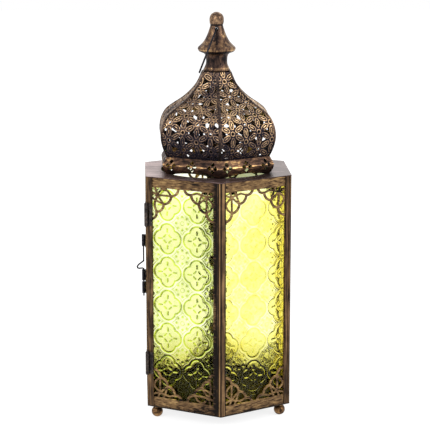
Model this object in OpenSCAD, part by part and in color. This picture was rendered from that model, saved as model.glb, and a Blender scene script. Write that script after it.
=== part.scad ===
// Six-sided pierced metal lantern with pressed-glass windows, a hinged door on one side,
// a pierced onion dome, a turned finial and a wire ring to hang it by. Sizes in millimetres.
// The origin is on the lantern's axis, on the plane that it stands on, with +Z up.
// Corner 0 points along -Y and the corners are counted anticlockwise, seen from above.
// Face k lies between corner k and corner k + 1. Face 4, towards -X, is the door.

/* [Body] */
// Width of one side of the six-sided body, corner to corner
side_w = 92; // [86:1:110]
// Height of the body from the underside of the pan to the top of the roof plate
body_h = 261; // [240:1:320]
// Height of the pan's underside above the surface that the lantern stands on
stand_h = 14.4; // [14:0.1:18]
// Thickness of the sheet metal of pan, posts, frames and roof plate
sheet_t = 1; // [0.8:0.1:1.2]
// Height of the lip turned up round the pan and down round the roof plate
lip_h = 4; // [3:0.5:5]

/* [Posts] */
// Width of each leg of a corner post
post_leg_w = 7.5; // [6.5:0.5:9]
// Outer radius of the bend along a corner post
post_bend_r = 2; // [1.6:0.1:2.4]
// Width of the joint grooves that run up a corner post
groove_w = 0.9; // [0.6:0.1:1.2]
// Depth of those grooves
groove_depth = 0.5; // [0.3:0.1:0.6]

/* [Windows] */
// Height of the rail above each window
top_rail_h = 11.6; // [11:0.2:16]
// Height of the rail below each window
bottom_rail_h = 11.8; // [11:0.2:16]
// Gap between the two spandrels of a rail
spandrel_gap = 7; // [6:0.5:20]
// Height of a corner spandrel, along the post
spandrel_h = 32; // [26:0.5:40]
// Width of the scalloped edge strip of a spandrel
scallop_w = 2.7; // [2.2:0.1:3.2]
// Width of the bars inside a spandrel
bar_w = 2; // [1.6:0.1:2.4]

/* [Glass] */
// Thickness of the pressed glass
glass_t = 3; // [2:0.5:4]
// Width of a glass clip
clip_w = 8; // [5:1:14]
// Thickness of the clip's strip
clip_t = 0.8; // [0.6:0.1:1]
// Height of the foot that solders a clip to its frame
clip_foot_h = 3; // [2.5:0.5:3.5]
// Height of the arm that a clip lays over the glass
clip_arm_h = 7; // [5:0.5:12]

/* [Feet] */
// Diameter of a ball foot
foot_d = 12.6; // [10:0.2:13]
// Height that is flattened off under the ball
foot_flat = 0.3; // [0.2:0.1:0.5]
// Distance from the axis of a foot to the corner of the pan above it
foot_inset = 12.5; // [12:0.5:22]
// Diameter of the threaded studs of the feet and of the finial
stud_d = 4; // [3:0.5:4]
// Width across the flats of the nuts
nut_w = 7; // [7:0.5:8]
// Thickness of the nuts
nut_t = 3.2; // [2.4:0.2:4]

/* [Roof and collar] */
// Distance from a corner of the roof plate to the collar's corner, at its widest
collar_inset = 21.5; // [18:0.5:26]
// Distance that the round opening in the roof plate stops short of the collar's lower corners
roof_hole_inset = 2.93; // [2:0.01:9]
// Height of the collar
collar_h = 18.7; // [17:0.1:22]
// Thickness of the collar's sheet
collar_t = 1.3; // [1:0.1:1.6]
// Width of the ledge at the top of the collar that the dome stands on
collar_ledge_w = 5.5; // [4.5:0.5:7]
// Rise of the arch in the lower edge of each side of the collar
arch_rise = 3; // [1:0.2:3.4]
// Length of the collar's lower edge that is left standing at each end of the arch
arch_foot_w = 7; // [5:0.5:12]
// Side of the small diamond holes in the collar
diamond_w = 3.9; // [2.8:0.1:4]
// Width of the crossed bars between the diamond holes
cross_w = 1.4; // [0.9:0.1:1.6]
// Distance from the middle of an outer pierced cross to the collar's corner
cross_end_w = 10; // [9.5:0.5:14]

/* [Dome] */
// Distance that the dome's seams stand out past the collar's widest corners, at the belly
dome_overhang = 1.5; // [0:0.1:2]
// Height of the dome above the collar
dome_h = 90.6; // [80:0.2:110]
// Thickness of the dome's sheet
dome_t = 0.9; // [0.7:0.1:1.1]
// Width of the strips over the seams
seam_w = 3.4; // [2.6:0.2:4.4]
// Thickness of those strips
seam_t = 0.7; // [0.5:0.1:1]
// Distance between the pierced rosettes
rosette_pitch = 19.5; // [17:0.5:24]
// Diameter of the hole in the middle of a rosette
hub_hole_d = 2.8; // [2:0.2:3.4]
// Distance from the middle of a three-pointed hole to its points
tri_hole_r = 3.7; // [3:0.1:4]

/* [Finial] */
// Distance that the flange at the foot of the finial stays inside the dome's top edge
flange_inset = 0.3; // [0.2:0.1:0.8]
// Height of the waisted neck, flange included
neck_h = 20; // [16:0.5:26]
// Radius of the flared skirt
skirt_r = 20.9; // [18:0.1:22]
// Height of the skirt with its cone
skirt_h = 30.6; // [28:0.2:34]
// Radius of the ball
ball_r = 7.9; // [7.2:0.1:8.2]
// Height of the ball
ball_h = 14.4; // [13.6:0.2:15]
// Depth of the axis of the ring's cross hole under the top of the cone
ring_hole_drop = 3.8; // [3.4:0.1:4.4]
// Thickness of the plate that clamps the dome from inside
crown_t = 1.4; // [1:0.2:2]
// Depth of the clamping plate under the top of the dome
crown_drop = 7; // [5:0.5:9]

/* [Ring] */
// Diameter of the ring, along the middle of its wire
ring_d = 52; // [50:0.5:58]
// Diameter of the ring's wire
ring_wire_d = 2; // [1.6:0.1:2.2]
// Gap between the leaning ring and the seam strips at the top of the dome that stop it
ring_rest_gap = 0.2; // [0.1:0.1:1]
// Turn of the ring and its cross hole about the axis, from the line between the front and the rear corner
ring_turn = -5; // [-10:1:10]

/* [Door] */
// Gap along the upright edges of the door, measured from the corners
door_edge_gap = 1.5; // [1.3:0.1:2]
// Gap above and below the door frame
door_end_gap = 0.8; // [0.5:0.1:1.2]
// Distance that the posts beside the door stop short of the corner
post_edge_gap = 0.6; // [0.5:0.1:0.9]
// Height of a hinge
hinge_h = 25; // [18:0.5:32]
// Depth of the middle of the upper hinge under the top of the roof plate
upper_hinge_drop = 42; // [36:1:70]
// Height of the middle of the lower hinge above the pan's underside
lower_hinge_z = 50.6; // [30:0.2:80]
// Outer radius of a hinge knuckle
knuckle_r = 2.1; // [1.9:0.1:2.3]
// Radius of a hinge pin
hinge_pin_r = 1.05; // [0.8:0.05:1.15]
// Thickness of the hinge leaves
leaf_t = 0.8; // [0.6:0.1:1]
// Width of the hinge leaves, measured from the corner
leaf_w = 8; // [6.5:0.5:9]
// Distance of the hinge axis from the corner, along the face beside the door
hinge_inset = 1.5; // [1.3:0.1:1.8]

/* [Latch] */
// Outer radius of the latch tubes
tube_r = 2; // [1.8:0.1:2.2]
// Radius of the wire of the latch pin
wire_r = 0.85; // [0.7:0.05:1]
// Height of the upper guide tube
guide_a_h = 13.5; // [10:0.5:16]
// Depth of the lower edge of the upper guide tube under the top of the roof plate
guide_a_drop = 98.4; // [80:0.2:110]
// Height of the middle guide tube
guide_b_h = 12.8; // [10:0.2:14]
// Gap between the middle guide tube and the keeper tube under it
keeper_gap = 1.7; // [1.2:0.1:3]
// Height of the keeper tube
keeper_h = 13.5; // [10:0.5:14]
// Reach of the handle loop bent in the wire
loop_reach = 7.4; // [5:0.2:10]
// Height of that loop
loop_h = 9.2; // [7:0.2:12]
// Travel of the latch pin
latch_travel = 17.2; // [12:0.2:20]
// Width of the tongues that hold the tubes, measured from the corner
tongue_w = 7; // [5:0.5:9]

/* [Hidden] */

// Overrun of every cut beyond the faces that it goes through
over = 0.5;
// Slack round a stud in its hole, a pin in its knuckle and a wire in its tube
stud_slack = 0.1;
pin_slack = 0.05;
wire_slack = 0.08;
// Gap that a piece keeps from the piece that carries it, and from one that moves past it
seat_gap = 0.2;
move_gap = 0.3;

// Angles of the six-sided plan, in degrees
turn = 60;
half_turn = 30;
front_angle = -90;

// Places of the two grooves on the legs of a post, as shares of their width
groove_place_shares = [0.28, -0.46];

// Body levels and distances from the axis to its flat faces
body_a = side_w * cos(half_turn);
frame_a = body_a - sheet_t;
inside_a = frame_a - sheet_t;
floor_z = stand_h + sheet_t;
roof_z = stand_h + body_h;
ceiling_z = roof_z - sheet_t;
plan_reach = 2 * side_w;

// Window opening, in the plane of a face
window_half_w = side_w / 2 - post_leg_w;
window_low_z = stand_h + bottom_rail_h;
window_high_z = roof_z - top_rail_h;
window_mid_z = (window_low_z + window_high_z) / 2;
window_half_h = (window_high_z - window_low_z) / 2;
spandrel_w = window_half_w - spandrel_gap / 2;
frame_half_w = inside_a * tan(half_turn) - seat_gap;

// Glass panes, which clear the lips of pan and roof plate by the feet of their clips
glass_low_z = floor_z + lip_h + seat_gap + clip_foot_h + seat_gap;
glass_high_z = ceiling_z - lip_h - seat_gap - clip_foot_h - seat_gap;
glass_half_w = (inside_a - seat_gap - glass_t) * tan(half_turn) - 2 * seat_gap;
clip_place_share = 0.62;

// Spandrel outline: the ends of its scallops as shares of its width and height, from the
// window's corner, then the hub and the fork, and the bars as pairs of such places.
// On the front left side two spandrels, given by side and level, are turned over.
scallop_end_shares = [[1, 0], [0.77, 0.15], [0.51, 0.435], [0.237, 0.725], [0, 1]];
hub_shares = [0.225, 0.177];
fork_shares = [0.4, 0.115];
bar_shares = [[hub_shares, fork_shares], [fork_shares, [0.57, 0.08]],
              [[0.57, 0.08], [0.77, 0.15]], [fork_shares, [0.51, 0.435]],
              [hub_shares, [0.51, 0.435]], [hub_shares, [0.237, 0.725]],
              [hub_shares, [0.05, 0.35]], [[0.05, 0.35], [0.02, 0.46]],
              [[0.02, 0.46], [0.09, 0.6]], [[0.09, 0.6], [0.237, 0.725]],
              [hub_shares, [-0.02, 0.1]], [hub_shares, [0.15, -0.03]],
              [fork_shares, [0.33, -0.03]]];
turned_spandrels = [[5, 0, 0], [5, 1, 1]];
scallop_bulge_share = 0.19;
scallop_cusp_share = 1.15;
hub_share = 1.2;
joint_share = 1.12;
curve_steps = 6;

// Feet: centre of the ball, the shoulder under the pan, and the angle of the first foot
foot_corners = [1, 3, 5];
foot_place_r = side_w - foot_inset;
foot_r = foot_d / 2;
foot_mid_z = foot_r - foot_flat;
shoulder_r = stud_d;
shoulder_share = 0.8;
stud_r = stud_d / 2;
nut_r = nut_w / 2 / cos(half_turn);

// Collar outline as shares: height, then distance to the flat side
collar_shares = [[0, 0.925], [0.12, 0.955], [0.26, 0.98], [0.42, 0.996], [0.55, 1],
                 [0.66, 0.987], [0.8, 0.963], [0.9, 0.943], [1, 0.925]];
collar_r = side_w - collar_inset;
collar_a = collar_r * cos(half_turn);
collar_low_r = collar_r * collar_shares[0][1];
roof_hole_r = collar_low_r - roof_hole_inset;
collar_cut_share = 0.75;
cross_level_share = 0.58;
cross_mid_z = roof_z + collar_h * cross_level_share;
cross_pitch = collar_r / 2 - cross_end_w;
arch_w = collar_low_r - 2 * arch_foot_w;
arch_r = (arch_w * arch_w / 4 + arch_rise * arch_rise) / (2 * arch_rise);

// Dome outline as shares: height above the collar, then distance of the seam from the axis.
// The rosettes stand in upright columns, which lie at a different place on each side of the
// dome: places as shares of the column width, for face 0 to face 5.
dome_shares = [[0, 0.893], [0.108, 0.961], [0.24, 1], [0.372, 0.976], [0.488, 0.893],
               [0.57, 0.757], [0.637, 0.62], [0.725, 0.478], [0.846, 0.339], [1, 0.242]];
dome_r = collar_r + dome_overhang;
dome_top_a = dome_r * dome_shares[len(dome_shares) - 1][1] * cos(half_turn);
dome_low_z = roof_z + collar_h;
dome_high_z = dome_low_z + dome_h;
dome_steps = 3;
column_w = rosette_pitch * cos(half_turn);
column_place_shares = [-0.14, 0.2, 0.5, -0.3, 0.08, 0.42];
rosette_columns = ceil(dome_r / 2 / column_w);
first_row_share = 0.07;
hole_edge_share = 0.75;
tilt_span_share = 0.125;
piercing_h = 6 * dome_t;

// Finial outlines as shares: height, then radius
turned_steps = 2;
flange_r = dome_top_a - flange_inset;
neck_shares = [[0, 0.95], [0.05, 0.995], [0.08, 1], [0.14, 0.95], [0.25, 0.885], [0.36, 0.82],
               [0.48, 0.79], [0.62, 0.79], [0.79, 0.81], [0.91, 0.87], [1, 1]];
skirt_shares = [[0, 0.72], [0.05, 0.91], [0.1, 0.975], [0.15, 1], [0.19, 0.99], [0.23, 0.945],
                [0.3, 0.83], [0.39, 0.71], [0.5, 0.604], [0.61, 0.523], [0.72, 0.455],
                [0.83, 0.402], [0.94, 0.349], [1, 0.33]];
ball_shares = [[0, 0.87], [0.04, 0.9], [0.12, 0.96], [0.25, 0.995], [0.35, 1], [0.46, 1],
               [0.64, 0.935], [0.8, 0.77], [0.91, 0.5], [0.97, 0.27], [1, 0]];
skirt_z = dome_high_z + neck_h;
ball_z = skirt_z + skirt_h;
ring_axis_z = ball_z - ring_hole_drop;
crown_z = dome_high_z - crown_drop;
rod_top_share = 0.62;
rod_high_z = skirt_z + skirt_h * rod_top_share;
rod_end = 1.6;

// Cross hole for the ring, straight in its middle and wider towards its mouths, as the ring's wire
// curves away
ring_mouth_share = 0.48;
ring_mouth_r = skirt_r * ring_mouth_share;
ring_hole_steps = 8;
ring_land = ring_mouth_r / ring_hole_steps;
function ring_bow(out) = ring_d / 2 - sqrt(ring_d * ring_d / 4 - out * out);

// Hinges: the axis in the plan of face 5, and the knuckles
barrel_x = body_a + knuckle_r + move_gap;
barrel_y = -side_w / 2 + hinge_inset;
upper_hinge_z = body_h - upper_hinge_drop;
middle_knuckle_share = 0.36;
pin_head_share = 1.5;
pin_head_r = hinge_pin_r * pin_head_share;
pin_head_t = leaf_t;

// Latch: the axis in the plan of face 4, and its levels
latch_x = body_a + leaf_t + tube_r - seat_gap;
latch_y = -side_w / 2 - tube_r / 2;
guide_a_low_z = roof_z - guide_a_drop;
loop_high_z = guide_a_low_z - latch_travel - 2 * move_gap;
loop_low_z = loop_high_z - loop_h;
guide_b_high_z = loop_low_z - wire_r - seat_gap;
guide_b_low_z = guide_b_high_z - guide_b_h;
keeper_high_z = guide_b_low_z - keeper_gap;
keeper_low_z = keeper_high_z - keeper_h;
wire_low_z = keeper_high_z + move_gap - latch_travel;
wire_top_share = 0.75;
wire_high_z = guide_a_low_z + guide_a_h * wire_top_share;
loop_shares = [[0, 1], [0.78, 0.53], [1, 0.28], [0.95, 0.1], [0.73, 0.03], [0.19, 0.06],
               [0, 0]];
bend_share = 1.06;
wire_bend_r = wire_r * bend_share;

// Point between p1 and p2 on the smooth curve through p0, p1, p2 and p3
function between(p0, p1, p2, p3, t) =
    (2 * p1 + (p2 - p0) * t + (2 * p0 - 5 * p1 + 4 * p2 - p3) * t * t
     + (3 * p1 - p0 - 3 * p2 + p3) * t * t * t) / 2;

// The same curve through a whole list of points, with a number of steps for each stretch
function smooth(list, steps) = let (last = len(list) - 1) concat(
    [for (i = [0:last - 1], j = [0:steps - 1])
        between(list[max(i - 1, 0)], list[i], list[i + 1], list[min(i + 2, last)], j / steps)],
    [list[last]]);

// Points of an outline of shares, as [distance from the axis, height]
function outline(shares, reach, height, low_z) =
    [for (s = shares) [s[1] * reach, low_z + s[0] * height]];

// The outline moved inwards by a wall measured square to it, with the same heights
function inner(points, wall) = let (last = len(points) - 1) [for (i = [0:last])
    let (a = points[max(i - 1, 0)], b = points[min(i + 1, last)],
         slope = (b[0] - a[0]) / (b[1] - a[1]))
    [points[i][0] - wall * sqrt(1 + slope * slope), points[i][1]]];

function reversed(list) = [for (i = [len(list) - 1:-1:0]) list[i]];
function across(points) = [for (p = points) [-p[0], p[1]]];

// Outline of the dome's flat sides, and tables of distance and height against length along it
dome_line = smooth(outline(dome_shares, dome_r * cos(half_turn), dome_h, dome_low_z), dome_steps);
dome_lengths = [for (i = 0, s = 0; i < len(dome_line);
                     s = s + norm(dome_line[min(i + 1, len(dome_line) - 1)] - dome_line[i]),
                     i = i + 1) s];
dome_out_table = [for (i = [0:len(dome_line) - 1]) [dome_lengths[i], dome_line[i][0]]];
dome_up_table = [for (i = [0:len(dome_line) - 1]) [dome_lengths[i], dome_line[i][1]]];
dome_length = dome_lengths[len(dome_lengths) - 1];

// Lean of the resting ring from the vertical, which lays its lowest stretch beside the dome's seams.
// The six-sided dome stands further out in the ring's direction as the ring turns towards a seam.
ring_foot_z = ring_axis_z - sqrt(ring_d * ring_d - flange_r * flange_r);
ring_foot_flat_a = lookup(ring_foot_z, [for (p = dome_line) [p[1], p[0]]]) + seam_t;
ring_foot_a = ring_foot_flat_a * cos(half_turn - abs(ring_turn)) / cos(half_turn);
ring_lean = asin((ring_foot_a + ring_wire_d / 2 + ring_rest_gap) / ring_d);

function dome_out(s) = lookup(s, dome_out_table);
function dome_up(s) = lookup(s, dome_up_table);
function dome_tilt(s) = let (d = rosette_pitch * tilt_span_share)
    -atan2(dome_out(s + d) - dome_out(s - d), dome_up(s + d) - dome_up(s - d));

// Point on a spandrel, from shares of its size, for a plain or a turned-over one
function spandrel_point(share, over_turned) = over_turned
    ? [share[1] * spandrel_h, -share[0] * spandrel_w] : [share[0] * spandrel_w, -share[1] * spandrel_h];

// Turns to face k, with X square to it outwards, Y along it towards corner k + 1, and Z up
module on_face(k) rotate([0, 0, turn * (k - 1)]) children();

// Turns to corner k, with X outwards through the corner
module on_corner(k) rotate([0, 0, front_angle + turn * k]) children();

// A plate on a face, drawn as seen from outside, with its outer side at a given distance
module face_plate(outer_a, t)
    translate([outer_a - t, 0, 0]) rotate([90, 0, 90]) linear_extrude(t) children();

// A six-sided plate, by the distance to its flats
module hex_plate(flat_a, low_z, t) translate([0, 0, low_z]) rotate([0, 0, half_turn])
    cylinder(r = flat_a / cos(half_turn), h = t, $fn = 6);

// A six-sided solid whose flat sides follow an outline
module side_slab(points) rotate([90, 0, 0]) linear_extrude(plan_reach, center = true)
    polygon(concat(points, reversed(across(points))));
module hex_solid(points) intersection() {
    side_slab(points);
    rotate([0, 0, turn]) side_slab(points);
    rotate([0, 0, 2 * turn]) side_slab(points);
}

// A turned solid from an outline
module turned(points) rotate_extrude($fn = 96)
    polygon(concat([[0, points[0][1]]], points, [[0, points[len(points) - 1][1]]]));

// A flat bar between two points
module bar(p, q, w) let (n = [p[1] - q[1], q[0] - p[0]] / norm(q - p) * w / 2)
    polygon([p + n, p - n, q - n, q + n]);

// A flat curved strip between two points, which bulges to the right of the way from p to q
module bowed_bar(p, q, bulge_share, w) {
    way = q - p;
    control = (p + q) / 2 + [way[1], -way[0]] * 2 * bulge_share;
    line = [for (i = [0:curve_steps]) let (t = i / curve_steps)
        (1 - t) * (1 - t) * p + 2 * t * (1 - t) * control + t * t * q];
    sides = [for (i = [0:curve_steps]) let (d = line[min(i + 1, curve_steps)] - line[max(i - 1, 0)])
        [-d[1], d[0]] / norm(d) * w / 2];
    polygon(concat([for (i = [0:curve_steps]) line[i] + sides[i]],
                   [for (i = [curve_steps:-1:0]) line[i] - sides[i]]));
}

// Pierced spandrel for the upper left corner of a window, with its origin at that corner
module spandrel_2d(over_turned) {
    way = over_turned ? -1 : 1;
    ends = [for (share = scallop_end_shares) spandrel_point(share, over_turned)];
    for (i = [0:len(ends) - 2])
        bowed_bar(ends[i + 1], ends[i], way * scallop_bulge_share, scallop_w);
    for (e = ends) translate(e) circle(d = scallop_w * scallop_cusp_share, $fn = 24);
    for (b = bar_shares) {
        bar(spandrel_point(b[0], over_turned), spandrel_point(b[1], over_turned), bar_w);
        translate(spandrel_point(b[1], over_turned)) circle(d = bar_w * joint_share, $fn = 24);
    }
    translate(spandrel_point(hub_shares, over_turned)) circle(r = bar_w * hub_share, $fn = 24);
}

// Stamped frame of face k with its window and four spandrels
module stamped_frame(k, outer_a, half_w, low_z, high_z) {
    face_plate(outer_a, sheet_t) difference() {
        translate([-half_w, low_z]) square([2 * half_w, high_z - low_z]);
        translate([-window_half_w, window_low_z]) square(2 * [window_half_w, window_half_h]);
    }
    for (side = [0, 1], level = [0, 1]) face_plate(outer_a, sheet_t)
        translate([0, window_mid_z]) mirror([side, 0]) mirror([0, level])
            translate([-window_half_w, window_half_h])
                spandrel_2d(len([for (t = turned_spandrels) if (t == [k, side, level]) t]) > 0);
}

module window_frame(k) color("darkgoldenrod") on_face(k)
    stamped_frame(k, frame_a, frame_half_w, floor_z, ceiling_z);

module pane(k, seat_a) color([0.78, 0.9, 0.35, 0.6]) on_face(k)
    face_plate(seat_a - seat_gap, glass_t) translate([-glass_half_w, glass_low_z])
        square([2 * glass_half_w, glass_high_z - glass_low_z]);

// Bent clip under the lower edge of a pane, soldered to the frame at seat_a
module clip(seat_a) {
    arm_a = seat_a - 2 * seat_gap - glass_t;
    ledge_z = glass_low_z - seat_gap;
    rotate([90, 0, 0]) linear_extrude(clip_w, center = true) polygon([
        [seat_a, ledge_z - clip_foot_h], [seat_a, ledge_z], [arm_a, ledge_z],
        [arm_a, ledge_z + clip_arm_h], [arm_a - clip_t, ledge_z + clip_arm_h],
        [arm_a - clip_t, ledge_z - clip_t], [seat_a - clip_t, ledge_z - clip_t],
        [seat_a - clip_t, ledge_z - clip_foot_h]]);
}
module pane_clips(k, seat_a) on_face(k)
    for (side = [-1, 1], level = [0, 1])
        translate([0, side * glass_half_w * clip_place_share, (glass_low_z + glass_high_z) / 2])
            mirror([0, 0, level]) translate([0, 0, -(glass_low_z + glass_high_z) / 2]) clip(seat_a);

// Bent corner post, in the plan of its corner. Grooves mark where the face strips meet.
module corner_post(k) color("saddlebrown") on_corner(k) {
    bend_x = side_w - post_bend_r / cos(half_turn);
    leg = [-sin(half_turn), cos(half_turn)];
    face_out = [cos(half_turn), sin(half_turn)];
    tip = [side_w, 0];
    outer_end = tip + post_leg_w * leg;
    arc = [for (a = [half_turn:-half_turn / 3:-half_turn])
        [bend_x, 0] + post_bend_r * [cos(a), sin(a)]];
    upper = [outer_end - sheet_t * face_out, outer_end];
    lower = [for (p = reversed(upper)) [p[0], -p[1]]];
    translate([0, 0, floor_z]) difference() {
        linear_extrude(ceiling_z - floor_z)
            polygon(concat(upper, arc, lower, [[side_w - sheet_t / cos(half_turn), 0]]));
        for (share = groove_place_shares)
            post_groove(tip, leg, share * post_leg_w, ceiling_z - floor_z);
    }
}
module post_groove(tip, leg, place, h) {
    side = sign(place);
    middle = tip + abs(place) * [leg[0], side * leg[1]];
    translate([middle[0], middle[1], -over]) rotate([0, 0, side * half_turn])
        translate([-groove_depth, -groove_w / 2, 0]) cube([2 * groove_depth, groove_w, h + 2 * over]);
}

// Flat post beside the door, on the face next to it. The side is 1 at corner k + 1, or -1.
module door_post(k, side) color("saddlebrown") on_face(k) {
    wide = post_leg_w - post_edge_gap;
    low_y = side > 0 ? side_w / 2 - post_leg_w : -side_w / 2 + post_edge_gap;
    translate([body_a - sheet_t, low_y, floor_z])
        cube([sheet_t, wide, ceiling_z - floor_z]);
}

// Lip round the inside of the body, which runs through the sheet that it's bent from
module lip_ring(low_z) difference() {
    hex_plate(inside_a, low_z, lip_h + sheet_t);
    hex_plate(inside_a - sheet_t, low_z - over, lip_h + sheet_t + 2 * over);
}

module base_pan() color("saddlebrown") {
    difference() {
        hex_plate(body_a, stand_h, sheet_t);
        for (k = foot_corners) on_corner(k) translate([foot_place_r, 0, stand_h - over])
            cylinder(r = stud_r + stud_slack, h = sheet_t + 2 * over, $fn = 32);
    }
    lip_ring(stand_h);
}

// Ball foot with its shoulder and stud in one
module ball_foot(k) color("peru") on_corner(k) translate([foot_place_r, 0, 0]) {
    shoulder_z = foot_mid_z + foot_r * shoulder_share;
    intersection() {
        translate([0, 0, foot_mid_z]) sphere(r = foot_r, $fn = 64);
        cylinder(r = foot_d, h = foot_d);
    }
    translate([0, 0, shoulder_z]) cylinder(r = shoulder_r, h = stand_h - shoulder_z, $fn = 32);
    translate([0, 0, foot_mid_z])
        cylinder(r = stud_r, h = floor_z + nut_t + sheet_t / 2 - foot_mid_z, $fn = 32);
}

module nut(low_z) translate([0, 0, low_z]) difference() {
    cylinder(r = nut_r, h = nut_t, $fn = 6);
    translate([0, 0, -over]) cylinder(r = stud_r + pin_slack, h = nut_t + 2 * over, $fn = 32);
}
module foot_nuts() color("silver")
    for (k = foot_corners) on_corner(k) translate([foot_place_r, 0, 0]) nut(floor_z);

module roof_plate() color("rosybrown") {
    difference() {
        hex_plate(body_a, ceiling_z, sheet_t);
        translate([0, 0, ceiling_z - over]) cylinder(r = roof_hole_r, h = sheet_t + 2 * over, $fn = 128);
    }
    lip_ring(ceiling_z - lip_h);
}

// Bulged collar with a ledge for the dome, arched lower edges and pierced crosses
module dome_collar() color("peru") {
    line = outline(collar_shares, collar_a, collar_h, roof_z);
    hollow = [for (p = line) [p[0] - collar_t, min(p[1], dome_low_z - collar_t)]];
    difference() {
        hex_solid(line);
        hex_solid(concat([[hollow[0][0], roof_z - over]], hollow));
        hex_plate(line[len(line) - 1][0] - collar_ledge_w, roof_z, collar_h + over);
        for (k = [0:5]) on_face(k) collar_cuts();
    }
}
module collar_cuts() {
    cut_x = collar_a * collar_cut_share;
    translate([cut_x, 0, roof_z + arch_rise - arch_r]) rotate([0, 90, 0])
        cylinder(r = arch_r, h = collar_a, $fn = 128);
    step = (diamond_w + cross_w) / sqrt(2);
    for (place = [-cross_pitch, 0, cross_pitch], way = [[step, 0], [-step, 0], [0, step], [0, -step]])
        translate([cut_x, place + way[0], cross_mid_z + way[1]]) rotate([45, 0, 0])
            translate([0, -diamond_w / 2, -diamond_w / 2]) cube([collar_a, diamond_w, diamond_w]);
}

// One side of the dome: a curved sheet, mitred at the seams and pierced with rosettes
module gore(k) color("peru") on_face(k) difference() {
    intersection() {
        rotate([90, 0, 0]) linear_extrude(plan_reach, center = true)
            polygon(concat(dome_line, reversed(inner(dome_line, dome_t))));
        translate([0, 0, dome_low_z]) linear_extrude(dome_h)
            polygon([[0, 0], [dome_r, -dome_r * tan(half_turn)], [dome_r, dome_r * tan(half_turn)]]);
    }
    gore_holes(column_place_shares[k]);
}
module gore_holes(place_share) {
    rows = floor(dome_length / rosette_pitch);
    for (i = [-rosette_columns:rosette_columns], j = [0:rows]) {
        out = (i + place_share) * column_w;
        up = (j + first_row_share + (abs(i) % 2) / 2) * rosette_pitch;
        pierce(out, up, hub_hole_d / 2) rotate([0, 90, 0])
            cylinder(d = hub_hole_d, h = piercing_h, center = true, $fn = 24);
        pierce(out + column_w / 3, up + rosette_pitch / 2, tri_hole_r)
            rotate([0, 90, 0]) tri_cutter(1);
        pierce(out - column_w / 3, up + rosette_pitch / 2, tri_hole_r)
            rotate([0, 90, 0]) tri_cutter(-1);
    }
}
// Three-pointed cutter, with one point along Y, away from the rosette beside it
module tri_cutter(way) rotate([0, 0, -front_angle * way])
    cylinder(r = tri_hole_r, h = piercing_h, center = true, $fn = 3);
// Places a cutter on the gore, unless it would reach the seam strip or an end
module pierce(along, up, reach) {
    room = dome_out(up) * tan(half_turn) - seam_w / 2 - reach * hole_edge_share;
    if (abs(along) < room && up > reach + dome_t && up < dome_length - reach - dome_t)
        translate([dome_out(up), along, dome_up(up)]) rotate([0, -dome_tilt(up), 0]) children();
}

// Strip over a seam, bent to lie on the two gores that meet there
module seam(k) color("peru") on_corner(k) for (side = [-1, 1]) intersection() {
    rotate([0, 0, side * half_turn]) rotate([90, 0, 0]) linear_extrude(plan_reach, center = true)
        polygon(concat(inner(dome_line, -seam_t), reversed(dome_line)));
    translate([0, side > 0 ? 0 : -seam_w / 2, dome_low_z]) cube([2 * dome_r, seam_w / 2, dome_h]);
}

// Round plate inside the narrowing top of the dome, pulled up against the gores by the nut
module crown_plate() color("dimgray") difference() {
    edge_a = lookup(crown_z, [for (p = inner(dome_line, dome_t)) [p[1], p[0]]]);
    translate([0, 0, crown_z - crown_t]) cylinder(r = edge_a - seat_gap, h = crown_t, $fn = 64);
    translate([0, 0, crown_z - crown_t - over])
        cylinder(r = stud_r + stud_slack, h = crown_t + 2 * over, $fn = 32);
}

module finial_neck() color("peru") difference() {
    turned(smooth(outline(neck_shares, flange_r, neck_h, dome_high_z), turned_steps));
    translate([0, 0, dome_high_z - over]) cylinder(r = stud_r + stud_slack, h = neck_h + 2 * over, $fn = 32);
}

module finial_skirt() color("peru") difference() {
    turned(smooth(outline(skirt_shares, skirt_r, skirt_h, skirt_z), turned_steps));
    translate([0, 0, skirt_z - over])
        cylinder(r = stud_r + pin_slack, h = rod_high_z + seat_gap + over - skirt_z, $fn = 32);
    translate([0, 0, ring_axis_z]) rotate([90, 0, ring_turn]) rotate_extrude($fn = 32)
        polygon(concat([[0, -ring_mouth_r]], [for (i = [-ring_hole_steps:ring_hole_steps])
            let (out = ring_mouth_r * i / ring_hole_steps)
            [ring_wire_d / 2 + ring_bow(max(abs(out), ring_land)) + move_gap, out]],
            [[0, ring_mouth_r]]));
}

module finial_ball() color("peru")
    turned(smooth(outline(ball_shares, ball_r, ball_h, ball_z), turned_steps));

module finial_rod() color("silver") translate([0, 0, crown_z - crown_t - nut_t - rod_end])
    cylinder(r = stud_r, h = rod_high_z - crown_z + crown_t + nut_t + rod_end, $fn = 32);
module finial_nut() color("silver") nut(crown_z - crown_t - nut_t);

// Ring through the cross hole, leaning towards -X until it lies against the top of the dome
module hanging_ring() color("dimgray") translate([0, 0, ring_axis_z])
    rotate([0, ring_lean, ring_turn]) translate([0, 0, -ring_d / 2]) rotate([0, 90, 0])
        rotate_extrude($fn = 96) translate([ring_d / 2, 0]) circle(d = ring_wire_d, $fn = 24);

// Hinge knuckles, in the plan of face 5, about the hinge axis
module knuckle(low_z, h) translate([barrel_x, barrel_y, low_z]) cylinder(r = knuckle_r, h = h, $fn = 32);
module hinge_bore(low_z) translate([barrel_x, barrel_y, low_z - over])
    cylinder(r = hinge_pin_r + pin_slack, h = hinge_h + 2 * over, $fn = 32);

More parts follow.
